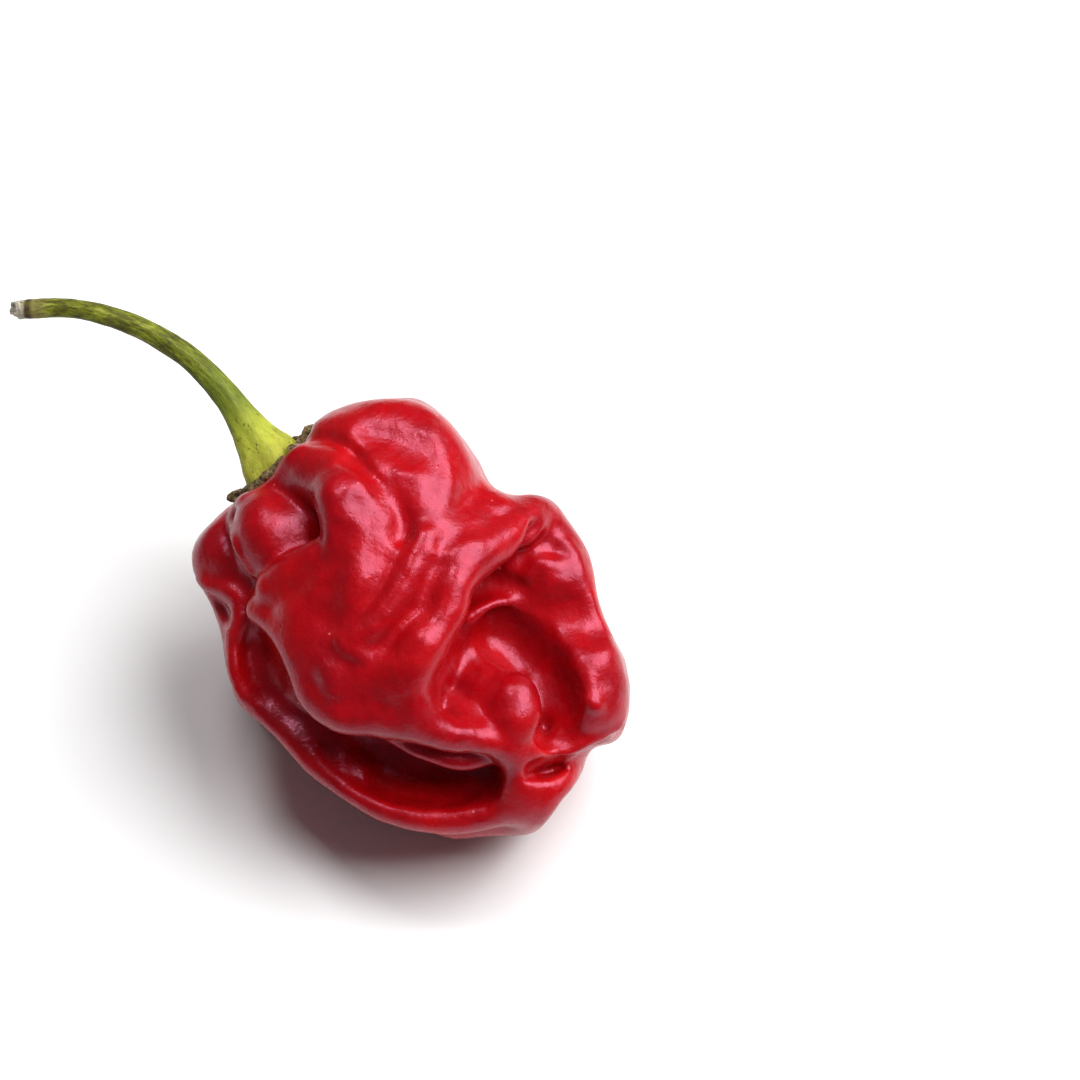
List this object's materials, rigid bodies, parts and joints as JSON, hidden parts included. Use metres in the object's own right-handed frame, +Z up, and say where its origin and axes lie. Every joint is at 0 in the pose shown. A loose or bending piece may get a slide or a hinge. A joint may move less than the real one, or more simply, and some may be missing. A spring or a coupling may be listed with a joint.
{
  "type": "asante hot pepper",
  "caption": "whole wrinkled red bonnet pepper with deep folds and a curved green stalk, lying on its side on a small flat spot",
  "frame": {"origin": "on the flat spot that the fruit rests on, under its weight", "axes": "+Z up from the table, -Y towards the viewer's side with the deep hollow under the fold, +X to the viewer's right; the stalk points to -X"},
  "size_m": [0.0624, 0.0504, 0.0371],
  "materials": {
    "skin": "waxy gloss",
    "stalk": "satin",
    "dry_calyx": "matte"
  },
  "bodies": {
    "root": {"fruit": "skin", "stalk": "stalk", "calyx_rim": "dry_calyx"}
  },
  "joints": []
}
